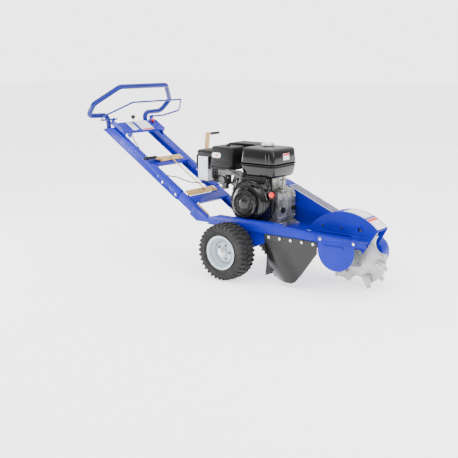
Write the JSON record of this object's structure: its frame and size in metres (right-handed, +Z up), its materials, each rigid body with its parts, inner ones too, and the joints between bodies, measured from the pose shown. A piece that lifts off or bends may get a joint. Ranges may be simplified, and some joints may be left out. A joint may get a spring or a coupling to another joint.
{
  "type": "stump grinder",
  "caption": "Walk-behind stump grinder: petrol engine on a two-wheel frame with long handles, belt drive and a toothed cutter wheel under a dome guard.",
  "frame": {"origin": "on the ground, in the middle of the length and width of the machine", "axes": "+X forwards to the cutter wheel, +Y to the machine's left side, +Z up"},
  "size_m": [1.9409, 0.7204, 1.0827],
  "materials": {
    "powder_blue": "gloss",
    "bar_blue": "gloss",
    "tyre": "matt",
    "rim_grey": "satin",
    "steel": "satin",
    "bright_steel": "satin",
    "zinc_yellow": "satin",
    "black_metal": "gloss",
    "cast_alu": "cast",
    "black_plastic": "matt",
    "red_plastic": "gloss",
    "rubber": "satin",
    "cast_iron": "cast",
    "light_sheet": "satin",
    "mesh": "satin"
  },
  "bodies": {
    "frame": {"deck": "powder_blue", "chassis_side_right": "powder_blue", "chassis_side_left": "powder_blue", "upright_right": "powder_blue", "upright_left": "powder_blue", "cross_members": "powder_blue", "handle_rail_right": "powder_blue", "handle_rail_left": "powder_blue", "handlebar": "bar_blue", "control_panel": "powder_blue", "wire_loom": "black_plastic", "pivot_bolts": "steel", "wheel_bearings": "steel", "axle": "steel", "axle_nuts": "steel", "cutter_housing": "powder_blue", "shaft_bearings": "cast_iron", "side_bar": "powder_blue", "side_plate": "powder_blue", "belt_guard": "powder_blue", "belt_mesh": "mesh", "drive_belts": "rubber", "crankcase": "cast_alu", "oil_caps": "black_metal", "fan_housing": "black_metal", "recoil_cover": "black_plastic", "cylinder": "cast_alu", "carburettor": "cast_alu", "air_cleaner": "black_plastic", "fuel_tank": "black_metal", "muffler": "black_metal", "heat_shield": "light_sheet", "shield_cap": "black_metal", "switch_box": "black_plastic", "side_skirt": "rubber", "rear_skirt": "rubber", "frame_bolts": "steel", "throttle_cable": "black_plastic"},
    "bail": {"bail": "bar_blue"},
    "throttle": {"throttle_lever": "steel", "throttle_knob": "black_plastic"},
    "stop_button": {"stop_button": "red_plastic"},
    "lock_lever": {"lock_lever": "zinc_yellow"},
    "lock_rod": {"lock_rod": "zinc_yellow"},
    "lock_crank": {"lock_crank": "zinc_yellow"},
    "lock_link": {"lock_link": "zinc_yellow"},
    "swing_lever": {"swing_lever": "zinc_yellow"},
    "wheel_left": {"tyre_left": "tyre", "rim_left": "rim_grey"},
    "wheel_right": {"tyre_right": "tyre", "rim_right": "rim_grey"},
    "cutter": {"cutter_shaft": "steel", "cutter_wheel": "bright_steel", "cutter_teeth": "bright_steel", "driven_pulley": "cast_iron"},
    "crank": {"crankshaft": "steel", "driver_pulley": "cast_iron"},
    "recoil_handle": {"recoil_handle": "black_plastic"},
    "fuel_cap": {"fuel_cap": "black_metal"},
    "switch_knob": {"switch_knob": "red_plastic"}
  },
  "joints": [
    {"name": "wheel_left_spin", "type": "hinge", "parent": "frame", "child": "wheel_left", "pos_m": [0.118, 0.282, 0.165], "axis": [0, 1, 0], "continuous": true},
    {"name": "wheel_right_spin", "type": "hinge", "parent": "frame", "child": "wheel_right", "pos_m": [0.118, -0.282, 0.165], "axis": [0, 1, 0], "continuous": true},
    {"name": "cutter_spin", "type": "hinge", "parent": "frame", "child": "cutter", "pos_m": [0.788, 0.06, 0.17524], "axis": [0, 1, 0], "continuous": true},
    {"name": "crank_spin", "type": "hinge", "parent": "frame", "child": "crank", "pos_m": [0.168, 0.193, 0.43], "axis": [0, 1, 0], "continuous": true},
    {"name": "bail_squeeze", "type": "hinge", "parent": "frame", "child": "bail", "pos_m": [-0.881, 0, 0.862], "axis": [0, -1, 0], "range_deg": [0, 24]},
    {"name": "throttle_turn", "type": "hinge", "parent": "frame", "child": "throttle", "pos_m": [-0.84824, -0.062, 0.75378], "axis": [0, 1, 0], "range_deg": [0, 36]},
    {"name": "stop_press", "type": "slide", "parent": "frame", "child": "stop_button", "axis": [-0.5329, 0, -0.8462], "range_m": [0, 0.004], "stiffness_N_per_m": 400, "springref_m": -0.002},
    {"name": "lock_lever_turn", "type": "hinge", "parent": "frame", "child": "lock_lever", "pos_m": [-0.56927, 0.095, 0.62065], "axis": [-0.5329, 0, -0.8462], "range_deg": [0, 9]},
    {"name": "lock_rod_turn", "type": "hinge", "parent": "lock_lever", "child": "lock_rod", "pos_m": [-0.56927, 0.005, 0.62065], "axis": [-0.5329, 0, -0.8462], "range_deg": [-9, 0]},
    {"name": "lock_crank_turn", "type": "hinge", "parent": "frame", "child": "lock_crank", "pos_m": [-0.28495, 0.095, 0.4416], "axis": [-0.5329, 0, -0.8462], "range_deg": [0, 9]},
    {"name": "lock_link_turn", "type": "hinge", "parent": "lock_crank", "child": "lock_link", "pos_m": [-0.28495, -0.135, 0.4416], "axis": [-0.5329, 0, -0.8462], "range_deg": [-9, 0]},
    {"name": "swing_turn", "type": "hinge", "parent": "frame", "child": "swing_lever", "pos_m": [-0.40189, 0.196, 0.46797], "axis": [0, 1, 0], "range_deg": [-14, 14]},
    {"name": "recoil_pull", "type": "slide", "parent": "frame", "child": "recoil_handle", "axis": [0, -1, 0], "range_m": [0, 0.5], "stiffness_N_per_m": 20, "springref_m": -0.05},
    {"name": "fuel_cap_turn", "type": "hinge", "parent": "frame", "child": "fuel_cap", "pos_m": [0.206, -0.008, 0.76], "axis": [0, 0, 1], "range_deg": [0, 90]},
    {"name": "switch_turn", "type": "hinge", "parent": "frame", "child": "switch_knob", "pos_m": [0.326, -0.13, 0.492], "axis": [0, -1, 0], "range_deg": [0, 60]}
  ],
  "couplings": [
    {"joint": "crank_spin", "follows": "cutter_spin", "ratio": 1.1154},
    {"joint": "lock_rod_turn", "follows": "lock_lever_turn", "ratio": -1},
    {"joint": "lock_crank_turn", "follows": "lock_lever_turn", "ratio": 1},
    {"joint": "lock_link_turn", "follows": "lock_lever_turn", "ratio": -1}
  ]
}
